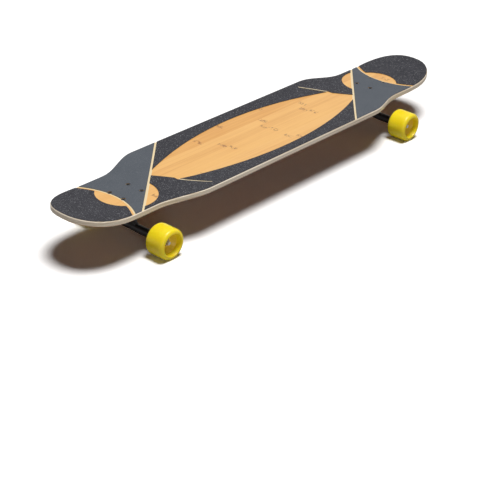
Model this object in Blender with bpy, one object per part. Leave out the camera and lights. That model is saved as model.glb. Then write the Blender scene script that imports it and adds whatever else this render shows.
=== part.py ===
"""Longboard: bamboo and cork deck, grip panels, reverse-kingpin trucks and wheels.

Origin on the floor below the middle of the board, +X along the board, +Z up, metres.
"""
import math

import bmesh
import bpy
from mathutils import Matrix, Vector

# Deck; lengths called END_TO are measured back from the deck's tip
LENGTH = 1.211
WIDTH = 0.241
WAIST_WIDTH = 0.175
END_TO_SHOULDER = 0.3155
END_TO_WAIST = 0.1935
END_TO_NOSE = 0.1135
END_TO_FLAT = 0.2055
END_TO_KICK = 0.1455
END_TO_TRUCK = 0.1818
NOSE_POWER = 2.3
DECK_TOP = 0.112
CORE_THICKNESS = 0.0109
CORK_THICKNESS = 0.0020
GRIP_THICKNESS = 0.0008
CONCAVE = 0.0063
KICK_RADIUS = 0.625
RAIL_RADIUS = 0.0030
GAP = 0.0003

# Grip panels: x runs inboard from the truck's bolt centre at the -X end, y across the board;
# the other end is turned half a turn
GRIP_INSET = 0.0015
LINE_WIDTH = 0.0045
LINE_FAR = (0.2103, 0.1190)
LINE_NEAR = (-0.0320, -0.0844)
LENS_CREST = 0.091
LENS_END = (0.1217, -0.037)
SLIT_END = (0.1597, -0.1015)
SLIT_BOW = 0.003
SLIT_WIDTH = 0.0022
LOBE_START = (0.0639, -0.0068)
LOBE_END = (-0.0173, -0.0750)
LOBE_BOW = 0.024
BAND_APEX = -0.0283
BAND_RADIUS = 0.1487
BAND_WIDTH = 0.008
NOSE_LENS_APEX = -0.0683
NOSE_LENS_HALF = 0.048

# Deck bolts
BOLT_LONG = 0.05398
BOLT_WIDE = 0.04128
BOLT_RADIUS = 0.0024
BOLT_HEAD_RADIUS = 0.0050
BOLT_HEAD_DEPTH = 0.0026
BOLT_NUT_RADIUS = 0.0054
BOLT_NUT_HEIGHT = 0.0050
BOLT_TAIL = 0.0020

# Trucks: u runs outboard, h runs down from the deck's underside
AXLE_OFFSET = -0.0033
STEER_ANGLE = math.radians(50)
RAKE = 0.018
PIVOT_REACH = 0.029
RISER = 0.003
FOOT_THICKNESS = 0.005
FOOT_LENGTH = 0.088
FOOT_WIDTH = 0.056
FOOT_SHIFT = 0.003
RING_RADIUS = 0.0170
RING_THICKNESS = 0.008
BUSHING_RADIUS = 0.0120
BOARD_BUSHING_LENGTH = 0.0105
ROAD_BUSHING_LENGTH = 0.0150
ROAD_BUSHING_TOP = 0.0100
WASHER_RADIUS = 0.0120
WASHER_THICKNESS = 0.0018
KINGPIN_RADIUS = 0.0047
KINGPIN_NUT_RADIUS = 0.0085
KINGPIN_NUT_HEIGHT = 0.0090
KINGPIN_TAIL = 0.0045
KINGPIN_SEAT = 0.0090
KINGPIN_PLAY = 0.0035
PIVOT_RADIUS = 0.0045
CUP_WALL = 0.0018
BOSS_WALL = 0.0020
BOSS_CLEARANCE = 0.0005
CUP_MOUTH = 0.007
HANGER_LENGTH = 0.180
HANGER_END_RADIUS = 0.0095
HANGER_MID_RADIUS = 0.0085
WEB_HALF_WIDTH = 0.034
WEB_THICKNESS = 0.008

# Wheels and axle
WHEEL_RADIUS = 0.035
WHEEL_WIDTH = 0.051
WHEEL_CENTRE = 0.1125
LIP_RADIUS = 0.008
OUTER_MOUTH = 0.0255
INNER_MOUTH = 0.0245
CORE_RADIUS = 0.0230
CORE_WALL = 0.0022
HUB_RADIUS = 0.0148
AXLE_RADIUS = 0.0040
BEARING_RADIUS = 0.011
BEARING_BORE = 0.0045
BEARING_WIDTH = 0.007
BEARING_SPACING = 0.010
BEARING_SHOULDER = 0.0085
AXLE_NUT_RADIUS = 0.0072
AXLE_NUT_HEIGHT = 0.0070
AXLE_TAIL = 0.0045

ROUND = 24
TYRE_SIDES = 24
HEX = 1 / math.cos(math.pi / 6)

tip_x = LENGTH / 2
shoulder_start = tip_x - END_TO_SHOULDER
shoulder_end = tip_x - END_TO_WAIST
nose_start = tip_x - END_TO_NOSE
flat_start = tip_x - END_TO_FLAT
kick_start = tip_x - END_TO_KICK
truck_x = tip_x - END_TO_TRUCK
deck_bottom = DECK_TOP - GRIP_THICKNESS - CORE_THICKNESS - CORK_THICKNESS - 2 * GAP
axle_drop = deck_bottom - WHEEL_RADIUS

# The truck's frame: the ring centre, the steering direction to the pivot, and the kingpin direction
steer_dir = Vector((-math.cos(STEER_ANGLE), 0, -math.sin(STEER_ANGLE)))
king_dir = Vector((math.sin(STEER_ANGLE), 0, -math.cos(STEER_ANGLE)))
axle_point = Vector((AXLE_OFFSET, 0, -axle_drop))
pivot_point = axle_point - RAKE * king_dir
ring_point = pivot_point - PIVOT_REACH * steer_dir


def clear_scene():
    for obj in list(bpy.data.objects):
        bpy.data.objects.remove(obj, do_unlink=True)


def material(name, color, roughness, metallic=0.0):
    mat = bpy.data.materials.new(name)
    mat.use_nodes = True
    shader = mat.node_tree.nodes["Principled BSDF"]
    shader.inputs["Base Color"].default_value = (*color, 1)
    shader.inputs["Roughness"].default_value = roughness
    shader.inputs["Metallic"].default_value = metallic
    return mat


def add_object(name, bm, look, smooth=True):
    bmesh.ops.recalc_face_normals(bm, faces=bm.faces)
    mesh = bpy.data.meshes.new(name)
    bm.to_mesh(mesh)
    bm.free()
    obj = bpy.data.objects.new(name, mesh)
    bpy.context.collection.objects.link(obj)
    if look:
        obj.data.materials.append(material(name, *look))
    if smooth:
        mesh.shade_smooth()
        mesh.set_sharp_from_angle(angle=math.radians(35))
    return obj


def boolean(obj, cutter, operation="DIFFERENCE"):
    mod = obj.modifiers.new(operation.lower(), "BOOLEAN")
    mod.operation = operation
    mod.object = cutter
    cutter.hide_render = True
    cutter.display_type = "WIRE"


def apply_modifiers(obj):
    # The evaluated mesh replaces the plain one, so that copies share the finished shape
    graph = bpy.context.evaluated_depsgraph_get()
    mesh = bpy.data.meshes.new_from_object(obj.evaluated_get(graph))
    obj.modifiers.clear()
    obj.data = mesh
    bm = bmesh.new()
    bm.from_mesh(mesh)
    bmesh.ops.remove_doubles(bm, verts=bm.verts, dist=2e-5)
    bmesh.ops.dissolve_degenerate(bm, edges=bm.edges, dist=1e-6)
    bmesh.ops.triangulate(bm, faces=bm.faces)
    bm.to_mesh(mesh)
    bm.free()
    mesh.shade_smooth()
    mesh.set_sharp_from_angle(angle=math.radians(35))


def remove(*objects):
    for obj in objects:
        bpy.data.objects.remove(obj, do_unlink=True)


def axis_matrix(origin, direction):
    # Z of the piece runs along the direction, and its X stays in the board's upright plane
    turn = Vector(direction).normalized().to_track_quat("Z", "Y").to_matrix().to_4x4()
    return Matrix.Translation(origin) @ turn


def revolve(bm, profile, origin, direction, sides=ROUND):
    # Profile points are (distance along the axis, radius); a closed profile makes a ring
    matrix = axis_matrix(origin, direction)
    verts = [bm.verts.new(matrix @ Vector((radius, 0, along))) for along, radius in profile]
    count = len(verts)
    edges = [bm.edges.new((verts[i], verts[(i + 1) % count])) for i in range(count)
             if profile[i][1] > 0 or profile[(i + 1) % count][1] > 0]
    axis = matrix.to_3x3() @ Vector((0, 0, 1))
    bmesh.ops.spin(bm, geom=verts + edges, cent=origin, axis=axis,
                   angle=math.tau, steps=sides, use_merge=True)
    bmesh.ops.remove_doubles(bm, verts=bm.verts, dist=1e-6)


def turned(name, profile, origin, direction, look, sides=ROUND, flat_down=False):
    bm = bmesh.new()
    revolve(bm, profile, origin, direction, sides)
    if flat_down:
        half_step = Matrix.Rotation(math.pi / sides, 3, Vector(direction))
        bmesh.ops.rotate(bm, verts=bm.verts, cent=origin, matrix=half_step)
    return add_object(name, bm, look)


def rod_profile(start, end, radius):
    return [(start, 0), (start, radius), (end, radius), (end, 0)]


def ring_profile(start, end, inner, outer):
    return [(start, inner), (start, outer), (end, outer), (end, inner)]


def rod(name, start, end, radius, sides=ROUND, look=None):
    start = Vector(start)
    span = Vector(end) - start
    return turned(name, rod_profile(0, span.length, radius), start, span, look, sides)


def prism(name, outline, low, high, look=None):
    bm = bmesh.new()
    face = bm.faces.new([bm.verts.new((x, y, low)) for x, y in outline])
    made = bmesh.ops.extrude_face_region(bm, geom=[face])
    moved = [item for item in made["geom"] if isinstance(item, bmesh.types.BMVert)]
    bmesh.ops.translate(bm, verts=moved, vec=(0, 0, high - low))
    return add_object(name, bm, look, smooth=False)


def smoothstep(value, start, end):
    t = min(1, max(0, (value - start) / (end - start)))
    return t * t * (3 - 2 * t)


# Deck shape
def half_width(x):
    s = abs(x)
    wide = WIDTH / 2 - (WIDTH - WAIST_WIDTH) / 2 * smoothstep(s, shoulder_start, shoulder_end)
    t = min(1, max(0, (s - nose_start) / (tip_x - nose_start)))
    return wide * max(0, 1 - t ** NOSE_POWER) ** (1 / NOSE_POWER)


def surface(x, y, edge):
    s = abs(x)
    dish = CONCAVE * (1 - smoothstep(s, shoulder_start + 0.01, flat_start))
    kick = max(0, s - kick_start) ** 2 / (2 * KICK_RADIUS)
    share = min(1, abs(y) / edge) if edge > 1e-6 else 0
    return DECK_TOP + dish * share ** 2.5 + kick


def stations():
    # Stations follow the shoulder, the waist and the nose, closer together where the edge turns
    tip = tip_x
    shoulder = [shoulder_start + (shoulder_end - shoulder_start) * i / 9 for i in range(10)]
    waist = [shoulder_end + (nose_start - shoulder_end) * i / 3 for i in (1, 2)]
    nose = [nose_start + (tip - nose_start) * math.sin(math.pi / 2 * i / 10) for i in range(11)]
    half = shoulder + waist + nose
    return [-x for x in reversed(half)] + [0] + half


COLUMNS = (-1, -0.75, -0.4, 0.4, 0.75, 1)


def edge_point(x, inset):
    # A point of the outline moved inwards, square to the edge
    tip = tip_x
    if abs(x) > tip - 1e-9:
        return math.copysign(tip - inset, x), 0
    step = 1e-5
    slope = (half_width(x + step) - half_width(x - step)) / (2 * step)
    norm = math.hypot(slope, 1)
    return x + inset * slope / norm, max(0, half_width(x) - inset / norm)


def cap_rows(bm, inset, drop):
    rows = []
    for x in stations():
        px, edge = edge_point(x, inset)
        shares = COLUMNS if edge > 1e-6 else (0,)
        outer = half_width(px) if edge > 1e-6 else 0
        rows.append([bm.verts.new((px, f * edge, surface(px, f * edge, outer) - drop))
                     for f in shares])
    return rows


def fill_rows(bm, rows):
    for a, b in zip(rows, rows[1:]):
        if len(a) == 1:
            for p, q in zip(b, b[1:]):
                bm.faces.new((a[0], q, p))
        elif len(b) == 1:
            for p, q in zip(a, a[1:]):
                bm.faces.new((p, q, b[0]))
        else:
            for p, q, r, s in zip(a, a[1:], b[1:], b):
                bm.faces.new((p, q, r))
                bm.faces.new((p, r, s))


def rim(rows):
    return [row[-1] for row in rows] + [row[0] for row in reversed(rows[1:-1])]


def deck_layer(name, levels, look=None):
    # Levels run from the top face to the bottom face as (inset, drop below the deck top)
    bm = bmesh.new()
    caps = [cap_rows(bm, *levels[0]), cap_rows(bm, *levels[-1])]
    for rows in caps:
        fill_rows(bm, rows)
    loops = [rim(caps[0])]
    for inset, drop in levels[1:-1]:
        rows = cap_rows(bm, inset, drop)
        loop = rim(rows)
        keep = set(loop)
        bmesh.ops.delete(bm, geom=[v for row in rows for v in row if v not in keep],
                         context="VERTS")
        loops.append(loop)
    loops.append(rim(caps[1]))
    for a, b in zip(loops, loops[1:]):
        for i in range(len(a)):
            j = (i + 1) % len(a)
            bm.faces.new((a[i], a[j], b[j], b[i]))
    bmesh.ops.triangulate(bm, faces=[f for f in bm.faces if len(f.verts) > 3])
    return add_object(name, bm, look)


def bolt_places(side):
    return [(side * truck_x + i * BOLT_LONG / 2, j * BOLT_WIDE / 2)
            for i in (-1, 1) for j in (-1, 1)]


def bolt_cutters(name, head, grow=GAP):
    # Clearance holes for all eight bolts, with a countersink in the core only
    bm = bmesh.new()
    top = DECK_TOP - GRIP_THICKNESS - GAP
    for side in (-1, 1):
        for x, y in bolt_places(side):
            part = bmesh.new()
            profile = rod_profile(0, 0.08, BOLT_RADIUS + grow)
            if head:
                profile = [(-0.02, 0), (-0.02, BOLT_HEAD_RADIUS + grow),
                           (GAP, BOLT_HEAD_RADIUS + grow),
                           (BOLT_HEAD_DEPTH + GAP, BOLT_RADIUS + grow),
                           (0.08, BOLT_RADIUS + grow), (0.08, 0)]
            revolve(part, profile, Vector((x, y, top)), Vector((0, 0, -1)), 8)
            mesh = bpy.data.meshes.new("cut")
            bmesh.ops.recalc_face_normals(part, faces=part.faces)
            part.to_mesh(mesh)
            part.free()
            bm.from_mesh(mesh)
    return add_object(name, bm, None, smooth=False)


# Grip panels
def arc_between(start, end, bow, count):
    # A round arc from start to end that bows to the left of its direction by bow
    a, b = Vector(start), Vector(end)
    chord = b - a
    half = chord.length / 2
    radius = (half * half + bow * bow) / (2 * abs(bow))
    left = Vector((-chord.y, chord.x)).normalized() * math.copysign(1, bow)
    centre = (a + b) / 2 - left * (radius - abs(bow))
    swing = math.asin(half / radius)
    points = []
    for i in range(count + 1):
        angle = -swing + 2 * swing * i / count
        points.append(centre + left * radius * math.cos(angle)
                      + chord.normalized() * radius * math.sin(angle))
    return [(p.x, p.y) for p in points]


def outline_run(start, end, sign):
    # Stations of the inset outline between two x values, on the +y or the -y side
    low, high = min(start, end), max(start, end)
    run = []
    for x in stations():
        px, edge = edge_point(x, GRIP_INSET)
        if low < px < high:
            run.append((px, sign * edge))
    return run if start < end else run[::-1]


def outline_at(x, sign):
    return x, sign * edge_point(x, GRIP_INSET)[1]


def line_offset(shift):
    # The straight gap between panels, moved sideways; it is carried past both edges
    a, b = Vector(from_truck(LINE_FAR)), Vector(from_truck(LINE_NEAR))
    along = (b - a).normalized()
    side = Vector((-along.y, along.x)) * shift
    return a + side, along


def line_x(shift, y):
    start, along = line_offset(shift)
    return start.x + along.x * (y - start.y) / along.y


def line_hit(shift, sign):
    # Where the moved line meets the inset outline
    y = sign * WIDTH / 2
    for _ in range(40):
        x = line_x(shift, y)
        y = sign * edge_point(x, GRIP_INSET)[1]
    return x, y


def from_truck(place):
    # A panel place in board coordinates, at the -X end
    return place[0] - truck_x, place[1]


def half_turn(outline):
    return [(-x, -y) for x, y in outline]


def truck_panel():
    centre = BAND_APEX - truck_x - BAND_RADIUS
    outboard = -LINE_WIDTH / 2
    far, near = line_hit(outboard, 1), line_hit(outboard, -1)

    def band(y):
        return centre + math.sqrt(BAND_RADIUS ** 2 - y * y)

    edge = 0.085
    run = [(band(y), y) for y in (edge * (1 - i / 6) for i in range(13))]
    points = [far]
    points += outline_run(far[0], run[0][0], 1)
    points += [(run[0][0], edge_point(run[0][0], GRIP_INSET)[1])]
    points += run[1:-1]
    points += [(run[-1][0], -edge_point(run[-1][0], GRIP_INSET)[1])]
    points += outline_run(run[-1][0], near[0], -1)
    points += [near]
    return points


def nose_panel():
    centre = BAND_APEX - truck_x - BAND_RADIUS
    inner = BAND_RADIUS - BAND_WIDTH
    half = NOSE_LENS_HALF
    corner = centre + math.sqrt(inner ** 2 - half ** 2)
    edge = 0.0845
    end = centre + math.sqrt(inner ** 2 - edge ** 2)
    top = [(centre + math.sqrt(inner ** 2 - y * y), y) for y in (0.074, 0.061)]
    lens = arc_between((corner, half), (corner, -half), -(corner - NOSE_LENS_APEX + truck_x), 10)
    points = [outline_at(end, 1)] + top + lens
    points += [(x, -y) for x, y in reversed(top)]
    points += [outline_at(end, -1)]
    points += outline_run(end, -LENGTH, -1)
    points += outline_run(-LENGTH, end, 1)[1:]
    return points


def side_panel():
    # The panel on the +y side, from the straight line at -X round the lens to the line at +X
    inboard = LINE_WIDTH / 2
    start = line_hit(inboard, 1)
    lens_end, slit_end, lobe_start, lobe_end = half_turn(
        [from_truck(place) for place in (LENS_END, SLIT_END, LOBE_START, LOBE_END)])
    tip_y = lens_end[1] - 0.003
    tip = (line_x(inboard, tip_y), tip_y)
    bow = LENS_CREST - (tip[1] + lens_end[1]) / 2
    crest = arc_between(tip, lens_end, bow, 18)
    end_y = -0.0165
    lens_far = (-line_x(inboard, -end_y), end_y)
    slit = arc_between(lens_far, slit_end, SLIT_BOW, 8)
    lower = [p for p in slit if p[1] < lens_end[1] - 0.002]
    upper = [p for p in slit if p[1] > lens_end[1] + 0.004]
    lobe = arc_between(lobe_start, lobe_end, LOBE_BOW, 12)
    finish = half_turn([line_hit(inboard, -1)])[0]
    points = [start] + crest[:-1]
    points += [(lens_end[0] - SLIT_WIDTH, lens_end[1] + 0.001)]
    points += [(x - SLIT_WIDTH / 2, y - SLIT_WIDTH / 4) for x, y in upper]
    points += [(x + SLIT_WIDTH / 2, y + SLIT_WIDTH / 4) for x, y in reversed(upper)]
    points += [(lens_end[0] + SLIT_WIDTH, lens_end[1] + 0.001)]
    points += list(reversed(lower))
    points += lobe
    points += [finish]
    points += outline_run(finish[0], start[0], 1)
    return points


def make_grips():
    looks = {
        "side": ((0.035, 0.035, 0.042), 0.92),
        "truck": ((0.115, 0.125, 0.14), 0.85),
        "nose": ((0.025, 0.025, 0.03), 0.95),
    }
    panels = {"side": side_panel(), "truck": truck_panel(), "nose": nose_panel()}
    names = {"side": ("side_grip_far", "side_grip_near"),
             "truck": ("truck_grip_left", "truck_grip_right"),
             "nose": ("tail_grip", "nose_grip")}
    holes = bolt_cutters("hole_cutter", True, 2 * GAP)
    for kind, outline in panels.items():
        for name, turn in zip(names[kind], (False, True)):
            levels = [(GRIP_INSET, 0), (GRIP_INSET, GRIP_THICKNESS)]
            sheet = deck_layer(name, levels, looks[kind])
            plan = half_turn(outline) if turn else outline
            cutter = prism("panel_cutter", plan, DECK_TOP - 0.02, DECK_TOP + 0.05)
            boolean(sheet, cutter, "INTERSECT")
            if kind == "truck":
                boolean(sheet, holes)
            apply_modifiers(sheet)
            remove(cutter)
    remove(holes)


def make_deck():
    top = GRIP_THICKNESS + GAP
    low = top + CORE_THICKNESS
    core = deck_layer("deck_core", [
        (GRIP_INSET, top),
        (0, top + RAIL_RADIUS * 0.6),
        (0, low),
        (GRIP_INSET / 2, low),
    ], ((0.80, 0.50, 0.20), 0.45))
    skin_top = low + GAP
    cork = deck_layer("cork_skin", [
        (GRIP_INSET / 2, skin_top),
        (GRIP_INSET / 2, skin_top + CORK_THICKNESS * 0.3),
        (RAIL_RADIUS, skin_top + CORK_THICKNESS),
    ], ((0.36, 0.16, 0.08), 0.4))
    countersunk = bolt_cutters("core_cutter", True)
    boolean(core, countersunk)
    boolean(cork, countersunk)
    apply_modifiers(core)
    apply_modifiers(cork)
    remove(countersunk)


# Truck pieces are made in the +X truck's own frame: u, sideways, and up
def foot_outline(grow=0.0):
    # A straight-sided foot with round ends
    half, radius = FOOT_LENGTH / 2 + grow, FOOT_WIDTH / 2 + grow
    reach = half - radius
    points = []
    for centre, start in ((reach, -90), (-reach, 90)):
        for i in range(9):
            angle = math.radians(start + 180 * i / 8)
            points.append((FOOT_SHIFT + centre + radius * math.cos(angle),
                           radius * math.sin(angle)))
    return points


def place_truck(obj, side):
    obj.rotation_euler = (0, 0, 0 if side > 0 else math.pi)
    obj.location = (side * truck_x, 0, deck_bottom)


def along(origin, distance, direction=king_dir):
    return origin + distance * direction


def truck_heights():
    # Distances along the kingpin from the ring centre to each seat
    ring = RING_THICKNESS / 2
    board_bushing = -(ring + GAP + BOARD_BUSHING_LENGTH)
    board_washer = board_bushing - GAP - WASHER_THICKNESS
    seat = board_washer - GAP
    road_bushing = ring + GAP + ROAD_BUSHING_LENGTH
    road_washer = road_bushing + GAP + WASHER_THICKNESS
    nut = road_washer + GAP + KINGPIN_NUT_HEIGHT
    return ring, board_bushing, board_washer, seat, road_bushing, road_washer, nut


def make_baseplate():
    look = ((0.018, 0.017, 0.018), 0.45, 0.2)
    ring, board_bushing, board_washer, seat, _, _, _ = truck_heights()
    foot_top = -RISER - GAP
    foot = prism("baseplate", foot_outline(), foot_top - FOOT_THICKNESS, foot_top, look)
    # The wedge rises inboard to the pivot boss; its sloped face is the bushing's seat
    seat_mid = along(ring_point, seat)
    foot_middle = foot_top - FOOT_THICKNESS / 2
    seat_toe = along(seat_mid, -(BUSHING_RADIUS + GAP), steer_dir)
    boss = boss_radius()
    mouth = along(pivot_point, -CUP_MOUTH, steer_dir)
    back = boss_back()
    profile = [
        Vector((seat_toe.x + 0.001, 0, foot_middle)),
        seat_toe,
        along(seat_mid, BUSHING_RADIUS + 0.001, steer_dir),
        along(mouth, 0.001, steer_dir) - king_dir * (boss * 0.6),
        along(back, -0.0013, steer_dir) - king_dir * (boss * 0.63),
        Vector((back.x - 0.006, 0, foot_middle)),
    ]
    bm = bmesh.new()
    half = 0.0105
    face = bm.faces.new([bm.verts.new((p.x, -half, p.z)) for p in profile])
    made = bmesh.ops.extrude_face_region(bm, geom=[face])
    moved = [item for item in made["geom"] if isinstance(item, bmesh.types.BMVert)]
    bmesh.ops.translate(bm, verts=moved, vec=(0, 2 * half, 0))
    for vert in bm.verts:
        # The wedge narrows towards the pivot
        rise = (foot_top - vert.co.z) / axle_drop
        vert.co.y *= 1.30 - 0.70 * rise
    wedge = add_object("wedge", bm, None, smooth=False)
    barrel = rod("pivot_boss", mouth, back, boss)
    boolean(foot, wedge, "UNION")
    boolean(foot, barrel, "UNION")
    king_room = rod("king_room", along(ring_point, seat + 0.001),
                    along(ring_point, seat - KINGPIN_SEAT), KINGPIN_RADIUS + GAP, 16)
    cup_room = rod("cup_room", along(mouth, -0.002, steer_dir),
                   along(pivot_point, PIVOT_RADIUS + 2 * GAP + CUP_WALL, steer_dir),
                   PIVOT_RADIUS + GAP + CUP_WALL + GAP, 20)
    boolean(foot, king_room)
    boolean(foot, cup_room)
    cutters = [wedge, barrel, king_room, cup_room]
    for i in (-1, 1):
        for j in (-1, 1):
            x, y = i * BOLT_LONG / 2, j * BOLT_WIDE / 2
            hole = rod("foot_hole", (x, y, 0.01), (x, y, -0.03), BOLT_RADIUS + GAP, 8)
            pocket = rod("nut_room", (x, y, foot_top - FOOT_THICKNESS - 0.0001),
                         (x, y, -0.03), BOLT_NUT_RADIUS + 2 * GAP, 10)
            boolean(foot, hole)
            boolean(foot, pocket)
            cutters += [hole, pocket]
    apply_modifiers(foot)
    remove(*cutters)
    return foot


def boss_radius():
    return PIVOT_RADIUS + GAP + CUP_WALL + GAP + BOSS_WALL


def boss_back():
    return along(pivot_point, PIVOT_RADIUS + 2 * GAP + CUP_WALL + BOSS_WALL, steer_dir)


def make_hanger():
    look = ((0.02, 0.019, 0.02), 0.38, 0.2)
    ring = RING_THICKNESS / 2
    side = Vector((0, 1, 0))
    half = HANGER_LENGTH / 2
    profile = [(-half, 0), (-half, HANGER_END_RADIUS), (-half + 0.050, HANGER_END_RADIUS),
               (-0.022, HANGER_MID_RADIUS), (0.022, HANGER_MID_RADIUS),
               (half - 0.050, HANGER_END_RADIUS), (half, HANGER_END_RADIUS), (half, 0)]
    bar = turned("hanger", profile, axle_point, side, look, 20)
    ring_part = rod("ring_part", along(ring_point, -ring), along(ring_point, ring), RING_RADIUS)
    # A triangular web joins the bar to the ring, inboard of the road-side bushing
    bm = bmesh.new()
    inboard = along(ring_point, BUSHING_RADIUS - 0.002, steer_dir)
    narrow, wide = RING_RADIUS - 0.001, WEB_HALF_WIDTH
    corners = [
        (inboard - king_dir * WEB_THICKNESS / 2, narrow),
        (inboard + king_dir * WEB_THICKNESS / 2, narrow),
        (axle_point - steer_dir * 0.006 + king_dir * 0.002, wide),
        (axle_point + steer_dir * 0.004 - king_dir * 0.005, wide),
    ]
    left = [bm.verts.new((p.x, -y, p.z)) for p, y in corners]
    right = [bm.verts.new((p.x, y, p.z)) for p, y in corners]
    bm.faces.new(left)
    bm.faces.new(right)
    for i in range(4):
        j = (i + 1) % 4
        bm.faces.new((left[i], left[j], right[j], right[i]))
    bmesh.ops.triangulate(bm, faces=bm.faces)
    web = add_object("web", bm, None, smooth=False)
    boss_room = rod("boss_room", along(pivot_point, -CUP_MOUTH - 0.0015, steer_dir),
                    along(boss_back(), 0.01, steer_dir), boss_radius() + BOSS_CLEARANCE)
    reach = PIVOT_REACH - RING_RADIUS + 0.002
    stub = turned("stub", [(0, 0), (0, PIVOT_RADIUS + 0.0015),
                           (reach - CUP_MOUTH - 0.003, PIVOT_RADIUS + 0.0010),
                           (reach - CUP_MOUTH - 0.001, PIVOT_RADIUS), (reach, PIVOT_RADIUS),
                           (reach + 0.003, PIVOT_RADIUS * 0.6), (reach + 0.003, 0)],
                  along(ring_point, RING_RADIUS - 0.002, steer_dir), steer_dir, None, 16)
    bore = rod("axle_bore", axle_point - side * 0.2, axle_point + side * 0.2,
               AXLE_RADIUS + GAP, 16)
    hole = rod("king_hole", along(ring_point, -0.05), along(ring_point, 0.05),
               KINGPIN_RADIUS + KINGPIN_PLAY, 16)
    bush_room = rod("bush_room", along(ring_point, ring), along(ring_point, 0.05),
                    BUSHING_RADIUS + 3 * GAP)
    for shape in (web, ring_part):
        boolean(bar, shape, "UNION")
    boolean(bar, boss_room)
    boolean(bar, bush_room)
    boolean(bar, stub, "UNION")
    boolean(bar, bore)
    boolean(bar, hole)
    apply_modifiers(bar)
    remove(ring_part, web, stub, bore, hole, bush_room, boss_room)
    return bar


def make_truck_pieces():
    ring, board_bushing, board_washer, seat, road_bushing, road_washer, nut = truck_heights()
    black = ((0.012, 0.012, 0.013), 0.5)
    zinc = ((0.55, 0.53, 0.42), 0.3, 1.0)
    steel = ((0.6, 0.6, 0.6), 0.3, 1.0)
    bore = KINGPIN_RADIUS + GAP
    pieces = {}
    riser = prism("riser_pad", foot_outline(-0.0005), -RISER, -GAP, black)
    for i in (-1, 1):
        for j in (-1, 1):
            x, y = i * BOLT_LONG / 2, j * BOLT_WIDE / 2
            hole = rod("riser_hole", (x, y, 0.01), (x, y, -0.03), BOLT_RADIUS + GAP, 8)
            boolean(riser, hole)
            apply_modifiers(riser)
            remove(hole)
    pieces["riser_pad"] = riser
    pieces["baseplate"] = make_baseplate()
    cup_outer = PIVOT_RADIUS + GAP + CUP_WALL
    pieces["pivot_cup"] = turned("pivot_cup", [
        (-CUP_MOUTH, PIVOT_RADIUS + GAP), (-CUP_MOUTH, cup_outer), (cup_outer, cup_outer),
        (cup_outer, 0), (cup_outer - CUP_WALL, 0), (cup_outer - CUP_WALL, PIVOT_RADIUS + GAP)],
        pivot_point, steer_dir, ((0.6, 0.58, 0.5), 0.5), 16)
    pieces["kingpin"] = turned("kingpin", rod_profile(seat - KINGPIN_SEAT + GAP, nut + KINGPIN_TAIL,
                                                      KINGPIN_RADIUS),
                               ring_point, king_dir, zinc, 16)
    pieces["board_bushing"] = turned("board_bushing", [
        (board_bushing, bore), (board_bushing, BUSHING_RADIUS - 0.0008),
        (board_bushing + 0.001, BUSHING_RADIUS), (-ring - GAP - 0.001, BUSHING_RADIUS),
        (-ring - GAP, BUSHING_RADIUS - 0.0008), (-ring - GAP, bore)],
        ring_point, king_dir, black, 16)
    pieces["road_bushing"] = turned("road_bushing", [
        (ring + GAP, bore), (ring + GAP, BUSHING_RADIUS - 0.0008),
        (ring + GAP + 0.001, BUSHING_RADIUS), (road_bushing - 0.001, ROAD_BUSHING_TOP + 0.0005),
        (road_bushing, ROAD_BUSHING_TOP), (road_bushing, bore)],
        ring_point, king_dir, black, 16)
    pieces["board_washer"] = turned("board_washer", ring_profile(
        board_washer, board_bushing - GAP, bore, WASHER_RADIUS), ring_point, king_dir, zinc, 16)
    pieces["road_washer"] = turned("road_washer", [
        (road_bushing + GAP, bore), (road_bushing + GAP, WASHER_RADIUS - 0.0015),
        (road_bushing - 0.0010, WASHER_RADIUS - 0.0005), (road_bushing - 0.0005, WASHER_RADIUS),
        (road_washer, WASHER_RADIUS - 0.0010), (road_washer, bore)],
        ring_point, king_dir, zinc, 16)
    pieces["kingpin_nut"] = turned("kingpin_nut", ring_profile(
        road_washer + GAP, nut, HEX * bore, KINGPIN_NUT_RADIUS), ring_point, king_dir, zinc, 6)
    pieces["hanger"] = make_hanger()
    reach = axle_reach()
    pieces["axle"] = turned("axle", rod_profile(-reach, reach, AXLE_RADIUS),
                            axle_point, Vector((0, 1, 0)), steel, 16)
    return pieces


def wheel_seats():
    # Distances from the board's middle plane to each face on the axle
    inner = HANGER_LENGTH / 2 + GAP
    inner_end = inner + BEARING_WIDTH
    outer = inner_end + BEARING_SPACING
    outer_end = outer + BEARING_WIDTH
    nut = outer_end + GAP
    return inner, inner_end, outer, outer_end, nut


def axle_reach():
    return wheel_seats()[4] + AXLE_NUT_HEIGHT + AXLE_TAIL


def lip(centre_along, sign, count=3):
    # A quarter round from the tread to the wheel's face; the tread's flats are at the full radius
    points = []
    flats = 1 / math.cos(math.pi / TYRE_SIDES)
    for i in range(count + 1):
        angle = math.pi / 2 * i / count
        points.append((centre_along + sign * LIP_RADIUS * math.sin(angle),
                       flats * (WHEEL_RADIUS - LIP_RADIUS + LIP_RADIUS * math.cos(angle))))
    return points


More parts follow.
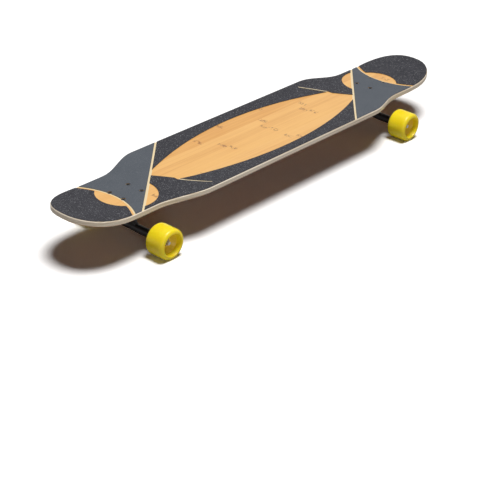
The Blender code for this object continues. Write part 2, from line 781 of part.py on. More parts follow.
def make_wheel(name, side, sign):
    # The wheel is turned about the axle; distances grow outboard along sign * Y
    inner, inner_end, outer, outer_end, nut = wheel_seats()
    axle = Vector((side * (truck_x + AXLE_OFFSET), 0, WHEEL_RADIUS))
    out = Vector((0, sign, 0))
    low, high = WHEEL_CENTRE - WHEEL_WIDTH / 2, WHEEL_CENTRE + WHEEL_WIDTH / 2
    yellow = ((0.83, 0.68, 0.03), 0.35)
    core_low, core_high = low + 0.008, high - 0.0125
    seat = CORE_RADIUS + GAP
    profile = list(reversed(lip(low + LIP_RADIUS, -1))) + lip(high - LIP_RADIUS, 1)
    profile += [(high, OUTER_MOUTH + 0.0005), (high - 0.0008, OUTER_MOUTH),
                (core_high + GAP, seat - 0.0010), (core_high + GAP, seat),
                (core_low - GAP, seat), (core_low - GAP, seat - 0.0010),
                (low + 0.0008, INNER_MOUTH), (low, INNER_MOUTH + 0.0005)]
    turned("tyre_" + name, profile, axle, out, yellow, TYRE_SIDES, True)
    hub_end = outer_end + 0.0003
    bearing_seat = BEARING_RADIUS + GAP
    core = [(inner, bearing_seat), (inner, HUB_RADIUS), (outer, HUB_RADIUS),
            (core_high - 0.004, CORE_RADIUS - CORE_WALL - 0.001), (core_low, CORE_RADIUS - CORE_WALL),
            (core_low, CORE_RADIUS), (core_high, CORE_RADIUS),
            (core_high, CORE_RADIUS - CORE_WALL / 2), (hub_end, bearing_seat + 0.0018),
            (hub_end, bearing_seat), (outer - GAP, bearing_seat),
            (outer - GAP, BEARING_SHOULDER), (inner_end + GAP, BEARING_SHOULDER),
            (inner_end + GAP, bearing_seat)]
    turned("core_" + name, core, axle, out, ((0.80, 0.62, 0.02), 0.4), 18)
    for label, start in (("inner", inner), ("outer", outer)):
        ring = ring_profile(start, start + BEARING_WIDTH, BEARING_BORE, BEARING_RADIUS)
        look = ((0.10, 0.06, 0.04), 0.4)
        turned("bearing_" + label + "_" + name, ring, axle, out, look, 14)
    turned("axle_nut_" + name, ring_profile(nut, nut + AXLE_NUT_HEIGHT, HEX * (AXLE_RADIUS + GAP),
                                            AXLE_NUT_RADIUS),
           axle, out, ((0.6, 0.58, 0.55), 0.3, 1.0), 6)


def make_bolts():
    look = ((0.02, 0.02, 0.02), 0.4, 0.6)
    top = -(GRIP_THICKNESS + GAP)
    stack = deck_bottom - DECK_TOP - RISER - GAP - FOOT_THICKNESS
    nut_top = stack - GAP
    nut_low = nut_top - BOLT_NUT_HEIGHT
    count = 0
    for side in (-1, 1):
        for x, y in bolt_places(side):
            count += 1
            rise = surface(x, y, half_width(x)) - DECK_TOP
            origin = Vector((x, y, DECK_TOP + rise))
            profile = [(-top, 0), (-top, BOLT_HEAD_RADIUS),
                       (-top + BOLT_HEAD_DEPTH, BOLT_RADIUS), (rise - nut_top, BOLT_RADIUS),
                       (rise - nut_top, BOLT_NUT_RADIUS), (rise - nut_low, BOLT_NUT_RADIUS),
                       (rise - nut_low, BOLT_RADIUS), (rise - nut_low + BOLT_TAIL, BOLT_RADIUS),
                       (rise - nut_low + BOLT_TAIL, 0)]
            turned("deck_bolt_%d" % count, profile, origin, Vector((0, 0, -1)), look, 8)


def main():
    clear_scene()
    make_deck()
    make_grips()
    pieces = make_truck_pieces()
    for side in (1, -1):
        for name, piece in pieces.items():
            if side > 0:
                obj = piece
                obj.name = name + "_right"
            else:
                obj = bpy.data.objects.new(name + "_left", piece.data)
                bpy.context.collection.objects.link(obj)
            place_truck(obj, side)
    for side, label in ((-1, "left"), (1, "right")):
        for sign, place in ((-1, "near"), (1, "far")):
            make_wheel(label + "_" + place, side, sign)
    make_bolts()


main()
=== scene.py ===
import math

import bmesh
import bpy
from mathutils import Euler, Matrix, Vector


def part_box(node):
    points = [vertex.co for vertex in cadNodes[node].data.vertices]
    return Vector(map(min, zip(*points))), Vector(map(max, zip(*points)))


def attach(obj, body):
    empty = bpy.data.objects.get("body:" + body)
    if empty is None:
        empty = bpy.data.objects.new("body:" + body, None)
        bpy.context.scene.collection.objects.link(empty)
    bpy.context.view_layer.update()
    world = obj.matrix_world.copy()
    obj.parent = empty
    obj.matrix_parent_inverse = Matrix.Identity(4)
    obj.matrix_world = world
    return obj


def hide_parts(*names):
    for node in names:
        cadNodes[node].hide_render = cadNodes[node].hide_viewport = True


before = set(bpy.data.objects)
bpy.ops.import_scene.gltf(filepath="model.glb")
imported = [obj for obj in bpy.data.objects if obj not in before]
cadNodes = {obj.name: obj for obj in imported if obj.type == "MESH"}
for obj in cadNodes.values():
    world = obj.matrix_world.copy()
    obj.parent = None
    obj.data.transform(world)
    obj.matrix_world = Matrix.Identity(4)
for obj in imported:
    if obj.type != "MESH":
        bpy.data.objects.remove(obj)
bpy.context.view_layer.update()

ends = ("left", "right")
wheelPlaces = [(end, side) for end in ends for side in ("near", "far")]
print("frame loaded:", len(cadNodes), "nodes")


def startMaterial(name, roughness=0.5, metallic=0.0, specular=0.5):
    mat = bpy.data.materials.new(name)
    mat.use_nodes = True
    shader = mat.node_tree.nodes["Principled BSDF"]
    shader.inputs["Roughness"].default_value = roughness
    shader.inputs["Metallic"].default_value = metallic
    shader.inputs["Specular IOR Level"].default_value = specular
    return mat, mat.node_tree, shader


def addNode(tree, kind, inputs=None, **settings):
    made = tree.nodes.new(kind)
    for key, value in settings.items():
        setattr(made, key, value)
    for key, value in (inputs or {}).items():
        if isinstance(value, bpy.types.NodeSocket):
            tree.links.new(value, made.inputs[key])
        else:
            made.inputs[key].default_value = value
    return made


def calc(tree, operation, first, second=0.0, clamp=False):
    made = addNode(tree, "ShaderNodeMath", {0: first, 1: second}, operation=operation)
    made.use_clamp = clamp
    return made.outputs[0]


def mixColors(tree, factor, first, second):
    made = addNode(tree, "ShaderNodeMix", data_type="RGBA")
    for index, value in ((0, factor), (6, first), (7, second)):
        if isinstance(value, bpy.types.NodeSocket):
            tree.links.new(value, made.inputs[index])
        elif index == 0:
            made.inputs[0].default_value = value
        else:
            made.inputs[index].default_value = (*value, 1)
    return made.outputs[2]


def objectPlace(tree, scale=(1, 1, 1)):
    place = addNode(tree, "ShaderNodeTexCoord").outputs["Object"]
    return addNode(tree, "ShaderNodeMapping", {"Vector": place, "Scale": scale}).outputs[0]


def noise(tree, place, scale, detail=2.0, roughness=0.5):
    return addNode(tree, "ShaderNodeTexNoise",
                   {"Vector": place, "Scale": scale, "Detail": detail,
                    "Roughness": roughness}).outputs["Fac"]


def ramp(tree, value, low, high):
    return addNode(tree, "ShaderNodeMapRange",
                   {"Value": value, "From Min": low, "From Max": high},
                   interpolation_type="SMOOTHSTEP").outputs["Result"]


def addBump(tree, shader, height, strength, distance):
    made = addNode(tree, "ShaderNodeBump",
                   {"Height": height, "Strength": strength, "Distance": distance})
    tree.links.new(made.outputs[0], shader.inputs["Normal"])


def setColor(tree, shader, socket):
    tree.links.new(socket, shader.inputs["Base Color"])


gripLook = {
    "charcoal": {"dark": (0.011, 0.011, 0.014), "light": (0.060, 0.060, 0.070), "paintedGlint": 0.20},
    "slate": {"dark": (0.070, 0.080, 0.094), "light": (0.112, 0.124, 0.142), "paintedGlint": 0.05},
}
# The grain table also sets the painted glints: pale specks that stand in for light glinting off
# the grit
gripGrain = {
    "grainScale": 900, "grainRange": (0.35, 0.65), "patchScale": 26, "patchRange": (0.35, 0.7),
    "patchShare": 0.25, "sparkScale": 620, "sparkRange": (0.72, 0.95),
    "paintedGlintColor": (0.75, 0.75, 0.78), "bump": 0.6, "bumpDepth": 0.0006,
}


def gripMaterial(name, look):
    mat, tree, shader = startMaterial(name, 0.85, specular=0.25)
    place = objectPlace(tree)
    grain = noise(tree, place, gripGrain["grainScale"], 3, 0.7)
    patches = noise(tree, place, gripGrain["patchScale"], 3)
    blend = ramp(tree, grain, *gripGrain["grainRange"])
    base = mixColors(tree, blend, look["dark"], look["light"])
    worn = calc(tree, "MULTIPLY", ramp(tree, patches, *gripGrain["patchRange"]),
                gripGrain["patchShare"])
    base = mixColors(tree, worn, base, look["dark"])
    # Painted glints: pale specks scattered over the grip stand in for light glinting off the grit
    grains = addNode(tree, "ShaderNodeTexVoronoi",
                     {"Vector": place, "Scale": gripGrain["sparkScale"]})
    bright = ramp(tree, grains.outputs["Color"], *gripGrain["sparkRange"])
    paintedGlint = calc(tree, "MULTIPLY", bright, look["paintedGlint"])
    setColor(tree, shader, mixColors(tree, paintedGlint, base, gripGrain["paintedGlintColor"]))
    addBump(tree, shader, grain, gripGrain["bump"], gripGrain["bumpDepth"])
    return mat


# The two rail colours are the laminations' colours, made paler with painted light for the lit side
bambooLook = {
    "pale": (0.82, 0.46, 0.14), "deep": (0.66, 0.31, 0.075), "knot": (0.26, 0.10, 0.025),
    "railWithPaintedLight": (0.86, 0.76, 0.62), "railDarkWithPaintedLight": (0.62, 0.50, 0.36), "inlay": (0.80, 0.64, 0.38),
    "stripsPerMetre": 42, "knotsPerMetre": 7, "grainStretch": (6, 260, 60),
    "cloudStretch": (7, 16, 16), "plyStretch": (4, 4, 900), "knotShare": 0.85,
    "railFacing": (0.84, 0.93),
}
# The pale lines on the deck: each is across * x + along * y = offset, with its mirror twin
paleLines = {
    "straight": {"across": 0.6430, "along": -0.7659, "offset": 0.2284, "half": 0.0032},
    "slit": {"across": 0.8616, "along": 0.5076, "offset": 0.2790, "half": 0.0060},
    "slitStartsAt": 0.0415, "rimCentre": (0.6007, 0, 0), "rimInner": 0.1452, "rimOuter": 0.1500,
}


def bambooMaterial():
    mat, tree, shader = startMaterial("varnishedBamboo", 0.38, specular=0.4)
    place = objectPlace(tree)
    split = addNode(tree, "ShaderNodeSeparateXYZ", {0: place})
    strips = calc(tree, "MULTIPLY", split.outputs["Y"], bambooLook["stripsPerMetre"])
    stripId = calc(tree, "FLOOR", strips)
    stripTone = addNode(tree, "ShaderNodeTexWhiteNoise", {"W": stripId},
                        noise_dimensions="1D").outputs["Value"]
    grain = noise(tree, objectPlace(tree, bambooLook["grainStretch"]), 1.0, 4, 0.6)
    clouds = noise(tree, objectPlace(tree, bambooLook["cloudStretch"]), 1.0, 3)
    tone = calc(tree, "ADD", calc(tree, "MULTIPLY", grain, 0.55),
                calc(tree, "MULTIPLY", stripTone, 0.25))
    tone = calc(tree, "ADD", tone, calc(tree, "MULTIPLY", clouds, 0.30))
    base = mixColors(tree, ramp(tree, tone, 0.35, 0.85), bambooLook["pale"], bambooLook["deep"])

    # Bamboo knots: thin brown bands across a strip, one in some cells
    shifted = calc(tree, "ADD", calc(tree, "MULTIPLY", split.outputs["X"],
                                     bambooLook["knotsPerMetre"]),
                   calc(tree, "MULTIPLY", stripTone, 7.3))
    cell = calc(tree, "FLOOR", shifted)
    wobble = calc(tree, "MULTIPLY", calc(tree, "SUBTRACT", noise(tree, place, 90, 2), 0.5), 0.06)
    inCell = calc(tree, "ADD", calc(tree, "SUBTRACT", shifted, cell), wobble)
    both = addNode(tree, "ShaderNodeCombineXYZ", {0: cell, 1: stripId})
    chance = addNode(tree, "ShaderNodeTexWhiteNoise", {"Vector": both.outputs[0]},
                     noise_dimensions="2D").outputs["Value"]
    offBand = calc(tree, "ABSOLUTE", calc(tree, "SUBTRACT", inCell, 0.5))
    band = calc(tree, "SUBTRACT", 1.0, ramp(tree, offBand, 0.015, 0.060))
    present = ramp(tree, chance, 0.48, 0.52)
    broken = ramp(tree, noise(tree, place, 190, 3, 0.65), 0.45, 0.60)
    knot = calc(tree, "MULTIPLY", calc(tree, "MULTIPLY", band, present), broken)
    top = mixColors(tree, calc(tree, "MULTIPLY", knot, bambooLook["knotShare"]), base,
                    bambooLook["knot"])

    # Pale lines: the straight line across each end, and the thin slit beside the lens
    def lineBand(line):
        turned = calc(tree, "ADD", calc(tree, "MULTIPLY", split.outputs["X"], line["across"]),
                      calc(tree, "MULTIPLY", split.outputs["Y"], line["along"]))
        off = calc(tree, "ABSOLUTE",
                   calc(tree, "SUBTRACT", calc(tree, "ABSOLUTE", turned), line["offset"]))
        return calc(tree, "LESS_THAN", off, line["half"])

    outside = calc(tree, "GREATER_THAN", calc(tree, "ABSOLUTE", split.outputs["Y"]),
                   paleLines["slitStartsAt"])
    inlay = calc(tree, "MAXIMUM", lineBand(paleLines["straight"]),
                 calc(tree, "MULTIPLY", lineBand(paleLines["slit"]), outside))
    # A pale edge runs round each truck panel on the nose side, the same at both ends
    folded = addNode(tree, "ShaderNodeCombineXYZ",
                     {0: calc(tree, "ABSOLUTE", split.outputs["X"]), 1: split.outputs["Y"]})
    reach = addNode(tree, "ShaderNodeVectorMath",
                    {0: folded.outputs[0], 1: paleLines["rimCentre"]},
                    operation="DISTANCE").outputs["Value"]
    rim = calc(tree, "MULTIPLY", calc(tree, "GREATER_THAN", reach, paleLines["rimInner"]),
               calc(tree, "LESS_THAN", reach, paleLines["rimOuter"]))
    inlay = calc(tree, "MAXIMUM", inlay, rim)
    top = mixColors(tree, inlay, top, bambooLook["inlay"])

    # The rail takes the laminations' colour where the surface faces sideways; painted light makes
    # that colour paler, standing in for light falling on the side
    facing = addNode(tree, "ShaderNodeSeparateXYZ",
                     {0: addNode(tree, "ShaderNodeNewGeometry").outputs["True Normal"]})
    upward = ramp(tree, facing.outputs["Z"], *bambooLook["railFacing"])
    plies = noise(tree, objectPlace(tree, bambooLook["plyStretch"]), 1.0, 2)
    railWithPaintedLight = mixColors(tree, ramp(tree, plies, 0.42, 0.62), bambooLook["railWithPaintedLight"],
                     bambooLook["railDarkWithPaintedLight"])
    setColor(tree, shader, mixColors(tree, upward, railWithPaintedLight, top))
    addBump(tree, shader, grain, 0.15, 0.0004)
    return mat


corkLook = {
    "brown": (0.36, 0.13, 0.045), "dark": (0.13, 0.045, 0.018), "pale": (0.55, 0.27, 0.12),
    "teal": (0.03, 0.38, 0.36), "coral": (0.62, 0.10, 0.05), "charcoal": (0.025, 0.022, 0.022),
    "cellScale": 330, "cloudScale": 14, "lineShare": 0.92, "lineEdge": 0.0007,
}
# Each ring band of the plain line design on the underside: centre, radius, width, colour
corkLines = [
    ((-0.16, -0.34), 0.372, 0.008, "charcoal"), ((-0.16, -0.34), 0.386, 0.006, "teal"),
    ((-0.16, -0.34), 0.400, 0.010, "charcoal"), ((-0.16, -0.34), 0.414, 0.004, "coral"),
    ((0.16, 0.34), 0.372, 0.008, "charcoal"), ((0.16, 0.34), 0.386, 0.006, "coral"),
    ((0.16, 0.34), 0.400, 0.010, "charcoal"), ((0.16, 0.34), 0.414, 0.004, "teal"),
    ((0.0, 0.0), 0.022, 0.006, "teal"), ((0.0, 0.0), 0.036, 0.005, "charcoal"),
    ((0.0, 0.0), 0.048, 0.004, "coral"),
]


def corkMaterial():
    mat, tree, shader = startMaterial("sealedCork", 0.42, specular=0.4)
    place = objectPlace(tree)
    grains = addNode(tree, "ShaderNodeTexVoronoi",
                     {"Vector": place, "Scale": corkLook["cellScale"]})
    fleck = addNode(tree, "ShaderNodeSeparateColor", {0: grains.outputs["Color"]})
    base = mixColors(tree, ramp(tree, fleck.outputs[0], 0.2, 0.9), corkLook["brown"],
                     corkLook["pale"])
    dark = ramp(tree, fleck.outputs[1], 0.74, 0.86)
    base = mixColors(tree, calc(tree, "MULTIPLY", dark, 0.8), base, corkLook["dark"])
    clouds = noise(tree, place, corkLook["cloudScale"], 3)
    base = mixColors(tree, calc(tree, "MULTIPLY", ramp(tree, clouds, 0.4, 0.7), 0.35),
                     base, corkLook["brown"])
    flat = addNode(tree, "ShaderNodeVectorMath", {0: place, 1: (1, 1, 0)}, operation="MULTIPLY")
    for centre, radius, width, color in corkLines:
        far = addNode(tree, "ShaderNodeVectorMath", {0: flat.outputs[0], 1: (*centre, 0)},
                      operation="DISTANCE").outputs["Value"]
        off = calc(tree, "ABSOLUTE", calc(tree, "SUBTRACT", far, radius))
        inside = calc(tree, "SUBTRACT", 1.0,
                      ramp(tree, off, width / 2, width / 2 + corkLook["lineEdge"]))
        base = mixColors(tree, calc(tree, "MULTIPLY", inside, corkLook["lineShare"]), base,
                         corkLook[color])
    setColor(tree, shader, base)
    addBump(tree, shader, fleck.outputs[0], 0.15, 0.0003)
    return mat


def speckledMaterial(name, dark, light, roughness, metallic=0.0, specular=0.5, scale=500,
                     bump=0.12, stretch=(1, 1, 1)):
    mat, tree, shader = startMaterial(name, roughness, metallic, specular)
    fine = noise(tree, objectPlace(tree, stretch), scale, 3, 0.6)
    broad = noise(tree, objectPlace(tree), 30, 2)
    tone = calc(tree, "ADD", calc(tree, "MULTIPLY", fine, 0.5), calc(tree, "MULTIPLY", broad, 0.5))
    setColor(tree, shader, mixColors(tree, ramp(tree, tone, 0.35, 0.65), dark, light))
    addBump(tree, shader, fine, bump, 0.0002)
    return mat


charcoalGrip = gripMaterial("charcoalGrip", gripLook["charcoal"])
slateGrip = gripMaterial("slateGrip", gripLook["slate"])
bamboo = bambooMaterial()
cork = corkMaterial()
truckBlack = speckledMaterial("satinBlackTruck", (0.014, 0.013, 0.014), (0.024, 0.022, 0.024),
                              0.42, 0.0, 0.35)
blackUrethane = speckledMaterial("blackUrethane", (0.010, 0.010, 0.010), (0.020, 0.020, 0.021),
                                 0.55, 0.0, 0.3)
cupPlastic = speckledMaterial("cupPlastic", (0.52, 0.50, 0.42), (0.60, 0.58, 0.50), 0.45)
zincPlate = speckledMaterial("zincPlate", (0.46, 0.36, 0.22), (0.62, 0.52, 0.36), 0.34, 1.0)
brightSteel = speckledMaterial("brightSteel", (0.52, 0.52, 0.52), (0.68, 0.68, 0.67), 0.28, 1.0)
yellowUrethane = speckledMaterial("yellowUrethane", (0.92, 0.70, 0.012), (0.96, 0.78, 0.018),
                                  0.36, 0.0, 0.4, 260, 0.06)
tyreInputs = yellowUrethane.node_tree.nodes["Principled BSDF"].inputs
tyreInputs["Subsurface Weight"].default_value = 0.15
tyreInputs["Subsurface Scale"].default_value = 0.004
amberCore = speckledMaterial("amberCore", (0.84, 0.55, 0.010), (0.92, 0.66, 0.014), 0.34, 0.0, 0.4)
bearingShield = speckledMaterial("bearingShield", (0.050, 0.022, 0.014), (0.10, 0.045, 0.028),
                                 0.45, 0.0, 0.3)
boltBlack = speckledMaterial("boltBlack", (0.014, 0.014, 0.015), (0.026, 0.026, 0.028), 0.4, 0.4)

nodeLooks = [
    ("side_grip", charcoalGrip), ("tail_grip", charcoalGrip), ("nose_grip", charcoalGrip),
    ("truck_grip", slateGrip), ("deck_core", bamboo), ("cork_skin", cork),
    ("riser_pad", blackUrethane), ("baseplate", truckBlack), ("hanger", truckBlack),
    ("pivot_cup", cupPlastic), ("kingpin", zincPlate), ("board_washer", zincPlate),
    ("road_washer", zincPlate), ("board_bushing", blackUrethane), ("road_bushing", blackUrethane),
    ("axle_nut", zincPlate), ("axle_", brightSteel), ("tyre", yellowUrethane),
    ("core_", amberCore), ("bearing", bearingShield), ("deck_bolt", boltBlack),
]
for name, obj in cadNodes.items():
    look = next(mat for start, mat in nodeLooks if name.startswith(start))
    obj.data.materials.clear()
    obj.data.materials.append(look)
print("materials on the frame")


def axisMatrix(origin, direction):
    turn = Vector(direction).normalized().to_track_quat("Z", "Y").to_matrix().to_4x4()
    return Matrix.Translation(origin) @ turn


smoothing = {"sharpAngle": math.radians(40), "mergeDistance": 1e-6}


def finishPiece(name, bm, look, body, replaced):
    bmesh.ops.recalc_face_normals(bm, faces=bm.faces)
    mesh = bpy.data.meshes.new(name)
    bm.to_mesh(mesh)
    bm.free()
    mesh.shade_smooth()
    mesh.set_sharp_from_angle(angle=smoothing["sharpAngle"])
    obj = bpy.data.objects.new(name, mesh)
    bpy.context.collection.objects.link(obj)
    mesh.materials.append(look)
    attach(obj, body)
    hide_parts(*replaced)
    return obj


def spunMesh(points, closed, origin, axis, sides):
    # The points of a profile, joined in a row or in a ring, are spun once round the axis
    bm = bmesh.new()
    verts = [bm.verts.new(point) for point in points]
    following = verts[1:] + verts[:1] if closed else verts[1:]
    edges = [bm.edges.new(pair) for pair in zip(verts, following)]
    bmesh.ops.spin(bm, geom=verts + edges, cent=origin, axis=axis, angle=math.tau,
                   steps=sides, use_merge=True)
    bmesh.ops.remove_doubles(bm, verts=bm.verts, dist=smoothing["mergeDistance"])
    return bm


def openTurned(name, profile, origin, look, body, replaced, sides):
    # A profile that starts and ends on the axis, which points down here
    points = [origin + Vector((radius, 0, -along)) for along, radius in profile]
    bm = spunMesh(points, False, origin, Vector((0, 0, 1)), sides)
    return finishPiece(name, bm, look, body, replaced)


def turnedPiece(name, profile, origin, direction, look, body, replaced, sides):
    # A closed profile of (distance along the axis, radius)
    matrix = axisMatrix(origin, direction)
    points = [matrix @ Vector((radius, 0, along)) for along, radius in profile]
    bm = spunMesh(points, True, origin, Vector(direction), sides)
    return finishPiece(name, bm, look, body, replaced)


def roundCorner(centreAlong, centreRadius, size, startAngle, endAngle, count):
    points = []
    for i in range(count + 1):
        angle = math.radians(startAngle + (endAngle - startAngle) * i / count)
        points.append((centreAlong + size * math.sin(angle),
                       centreRadius + size * math.cos(angle)))
    return points


wheel = {
    "radius": 0.0350, "width": 0.0510, "centre": 0.1125, "lip": 0.0080, "lipSteps": 9,
    "outerMouth": 0.0255, "innerMouth": 0.0245, "mouthEdge": 0.0010, "fineEdge": 0.0003,
    "flare": 0.0012, "coreRadius": 0.0230, "coreClearance": 0.0003, "coreInset": 0.0080,
    "coreSetBack": 0.0125, "coreWall": 0.0022, "coreChamfer": 0.0006, "coreEdge": 0.0004,
    "webSetBack": 0.0040, "webStep": 0.0010, "hub": 0.0148, "bearingSeat": 0.0113,
    "spacerBore": 0.0085, "innerFace": 0.0903, "bearingWidth": 0.007, "spacing": 0.010,
    "dish": [(0.0012, 0.0038), (0.0005, 0.0026), (0.0003, 0.0018), (0.0003, 0.0)], "sides": 96,
}


def wheelSpan():
    # Where the tyre and the core start and end along the axle
    low = wheel["centre"] - wheel["width"] / 2
    high = low + wheel["width"]
    return low, high, low + wheel["coreInset"], high - wheel["coreSetBack"]


def tyreProfile():
    low, high, coreLow, coreHigh = wheelSpan()
    lip, radius = wheel["lip"], wheel["radius"]
    edge, fine, flare = wheel["mouthEdge"], wheel["fineEdge"], wheel["flare"]
    outer, inner = wheel["outerMouth"], wheel["innerMouth"]
    seat = wheel["coreRadius"] + wheel["coreClearance"]
    profile = roundCorner(low + lip, radius - lip, lip, -90, 0, wheel["lipSteps"])
    profile += roundCorner(high - lip, radius - lip, lip, 0, 90, wheel["lipSteps"])
    profile += [(high, outer + edge), (high - fine, outer + fine), (high - edge, outer),
                (coreHigh + flare, seat + 0.0002), (coreHigh + fine, seat),
                (coreLow - fine, seat), (coreLow - flare, seat + 0.0001),
                (low + edge, inner), (low + fine, inner + fine), (low, inner + edge)]
    return profile


def coreProfile():
    coreLow, coreHigh = wheelSpan()[2:]
    inner = wheel["innerFace"]
    innerEnd = inner + wheel["bearingWidth"]
    outer = innerEnd + wheel["spacing"]
    outerEnd = outer + wheel["bearingWidth"]
    radius, wall, seat = wheel["coreRadius"], wheel["coreWall"], wheel["bearingSeat"]
    hub, chamfer, edge = wheel["hub"], wheel["coreChamfer"], wheel["coreEdge"]
    gap, bore = wheel["fineEdge"], wheel["spacerBore"]
    profile = [(inner, seat), (inner, hub - chamfer), (inner + chamfer, hub), (outer, hub),
               (coreHigh - wheel["webSetBack"], radius - wall - wheel["webStep"]),
               (coreLow + chamfer, radius - wall), (coreLow, radius - wall + chamfer),
               (coreLow, radius - edge), (coreLow + edge, radius),
               (coreHigh - edge, radius), (coreHigh, radius - edge),
               (coreHigh, radius - wall / 2 + 0.0003),
               (coreHigh - edge, radius - wall / 2 - 0.0002)]
    profile += [(outerEnd + along, seat + out) for along, out in wheel["dish"]]
    profile += [(outer - gap, seat), (outer - gap, bore), (innerEnd + gap, bore),
                (innerEnd + gap, seat)]
    return profile


for end, side in wheelPlaces:
    label = end + "_" + side
    low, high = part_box("tyre_" + label)
    origin = Vector(((low.x + high.x) / 2, 0, wheel["radius"]))
    out = Vector((0, -1 if side == "near" else 1, 0))
    cap = end.capitalize() + side.capitalize()
    turnedPiece("wheelTread" + cap, tyreProfile(), origin, out, yellowUrethane,
                "wheel_" + label, ["tyre_" + label], wheel["sides"])
    turnedPiece("wheelCore" + cap, coreProfile(), origin, out, amberCore,
                "wheel_" + label, ["core_" + label], wheel["sides"])
print("wheels made")

bolt = {
    "count": 8, "shank": 0.0024, "head": 0.0050, "headDepth": 0.0026, "headEdge": 0.0002,
    "socket": 0.0021, "socketDepth": 0.0017, "socketTaper": 0.9, "tipEdge": 0.0004,
    "tipBelowNut": 0.0020, "nutFlats": 0.0050, "flatsToCorners": 1.08, "nutHeight": 0.0050,
    "nutBevel": 0.0004, "sides": 32,
}


def makeBolt(index):
    # The head, shank and lock nut of one deck bolt, from the CAD bolt's own box
    node = "deck_bolt_%d" % index
    low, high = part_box(node)
    middle = (low + high) / 2
    length = high.z - low.z
    origin = Vector((middle.x, middle.y, high.z))
    edge, tip = bolt["headEdge"], bolt["tipEdge"]
    head = [(bolt["socketDepth"], 0), (bolt["socketDepth"], bolt["socket"] * bolt["socketTaper"]),
            (edge, bolt["socket"]), (0, bolt["socket"] + edge),
            (0, bolt["head"] - edge), (edge, bolt["head"]),
            (bolt["headDepth"], bolt["shank"]), (length - tip, bolt["shank"]),
            (length, bolt["shank"] - tip), (length, 0)]
    openTurned("boltHead%d" % index, head, origin, boltBlack, "board", [node],
               bolt["sides"])
    nut = bmesh.new()
    corners = bolt["nutFlats"] * bolt["flatsToCorners"]
    bmesh.ops.create_cone(nut, cap_ends=True, segments=6, radius1=corners, radius2=corners,
                          depth=bolt["nutHeight"])
    bmesh.ops.bevel(nut, geom=nut.edges[:], offset=bolt["nutBevel"], segments=2,
                    affect="EDGES", profile=0.5, material=-1)
    nutMiddle = low.z + bolt["tipBelowNut"] + bolt["nutHeight"] / 2
    bmesh.ops.translate(nut, verts=nut.verts, vec=(middle.x, middle.y, nutMiddle))
    finishPiece("boltNut%d" % index, nut, brightSteel, "board", [node])


for index in range(1, bolt["count"] + 1):
    makeBolt(index)
print("deck bolts made")

slit = {"start": (0.3015, 0.0385), "end": (0.2645, 0.1008), "bow": 0.0012, "width": 0.0030,
        "steps": 16, "flatTop": 0.11264, "midTop": 0.11507, "edgeTop": 0.1183, "edge": 0.1202,
        "flatShare": 0.4, "midShare": 0.75, "narrowing": 0.45, "proud": 0.00015,
        "depth": 0.0007}


def slitTop(y):
    # The deck's top along the slit, which follows the dish as the grip panel does
    share = abs(y) / slit["edge"]
    flat, mid = slit["flatShare"], slit["midShare"]
    if share < flat:
        return slit["flatTop"]
    if share < mid:
        rise = (share - flat) / (mid - flat)
        return slit["flatTop"] + (slit["midTop"] - slit["flatTop"]) * rise
    return slit["midTop"] + (slit["edgeTop"] - slit["midTop"]) * (share - mid) / (1 - mid)


def makeSlit(name, turn):
    start, end = Vector(slit["start"]), Vector(slit["end"])
    along = (end - start).normalized()
    side = Vector((-along.y, along.x))
    bm = bmesh.new()
    left, right = [], []
    for i in range(slit["steps"] + 1):
        t = i / slit["steps"]
        middle = start.lerp(end, t) - side * slit["bow"] * math.sin(math.pi * t)
        half = slit["width"] / 2 * (1 - slit["narrowing"] * t)
        for row, shift in ((left, half), (right, -half)):
            p = middle + side * shift
            row.append(bm.verts.new((turn * p.x, turn * p.y, slitTop(p.y) + slit["proud"])))
    faces = [bm.faces.new((left[i], left[i + 1], right[i + 1], right[i]))
             for i in range(slit["steps"])]
    made = bmesh.ops.extrude_face_region(bm, geom=faces)
    low = [item for item in made["geom"] if isinstance(item, bmesh.types.BMVert)]
    bmesh.ops.translate(bm, verts=low, vec=(0, 0, -slit["depth"]))
    return finishPiece(name, bm, paleInlay, "board", [])


paleInlay = speckledMaterial("paleInlay", (0.70, 0.57, 0.36), (0.82, 0.69, 0.47), 0.5)
makeSlit("slitInlayFar", 1)
makeSlit("slitInlayNear", -1)
print("inlays made")

studio = {"floorSize": 14.0, "floorColor": (0.46, 0.455, 0.45), "floorSeen": (1.22, 1.21, 1.20),
          "worldLight": 0.022, "worldTint": (1.0, 0.78, 0.66), "keyPower": 420.0,
          "keyPlace": (-0.1, -0.8, 6.3), "keySize": 2.6,
          "fillPower": 15.0, "fillPlace": (-2.2, -3.0, 0.45), "fillSize": 0.8}

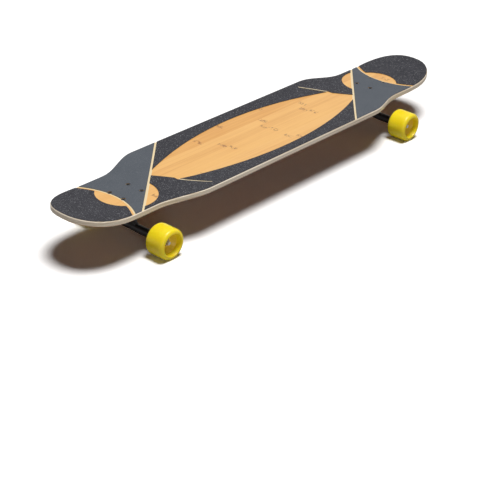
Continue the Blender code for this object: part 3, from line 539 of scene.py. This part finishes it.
bm = bmesh.new()
bmesh.ops.create_grid(bm, x_segments=1, y_segments=1, size=studio["floorSize"] / 2)
floorMesh = bpy.data.meshes.new("studioFloor")
bm.to_mesh(floorMesh)
bm.free()
floor = bpy.data.objects.new("studioFloor", floorMesh)
bpy.context.collection.objects.link(floor)
floorLook, tree, shader = startMaterial("paleFloor", 0.9, specular=0.1)
seenByCamera = addNode(tree, "ShaderNodeLightPath").outputs["Is Camera Ray"]
setColor(tree, shader, mixColors(tree, seenByCamera, studio["floorColor"], studio["floorSeen"]))
floorMesh.materials.append(floorLook)

world = bpy.data.worlds.new("studioWorld")
bpy.context.scene.world = world
world.use_nodes = True
tree = world.node_tree
paths = addNode(tree, "ShaderNodeLightPath")
seen = calc(tree, "MAXIMUM", paths.outputs["Is Camera Ray"], paths.outputs["Is Glossy Ray"])
seen = calc(tree, "MAXIMUM", seen, paths.outputs["Is Transmission Ray"])
level = addNode(tree, "ShaderNodeMapRange", {"Value": seen, "To Min": studio["worldLight"],
                                             "To Max": 1.0})
background = tree.nodes["Background"]
tree.links.new(mixColors(tree, seen, studio["worldTint"], (1.0, 1.0, 1.0)),
               background.inputs["Color"])
tree.links.new(level.outputs["Result"], background.inputs["Strength"])


def addLamp(name, place, size, power):
    lamp = bpy.data.lights.new(name, "AREA")
    lamp.shape = "DISK"
    lamp.size = size
    lamp.energy = power
    obj = bpy.data.objects.new(name, lamp)
    bpy.context.collection.objects.link(obj)
    obj.location = place
    obj.rotation_euler = (-Vector(place)).to_track_quat("-Z", "Y").to_euler()


addLamp("keyLight", studio["keyPlace"], studio["keySize"], studio["keyPower"])
addLamp("fillLight", studio["fillPlace"], studio["fillSize"], studio["fillPower"])

view = {"lens": 111.488, "sensor": 36, "clipEnd": 50,
        "place": (-2.37624, -2.00470, 1.54883), "turn": (1.06499, -0.034266, -0.840893)}
camera = bpy.data.cameras.new("photoCamera")
camera.lens = view["lens"]
camera.sensor_width = view["sensor"]
camera.clip_end = view["clipEnd"]
cameraObject = bpy.data.objects.new("photoCamera", camera)
bpy.context.collection.objects.link(cameraObject)
cameraObject.location = view["place"]
cameraObject.rotation_euler = Euler(view["turn"], "XYZ")
bpy.context.scene.camera = cameraObject
bpy.context.scene.view_settings.view_transform = "Standard"
print("floor, light and camera set")
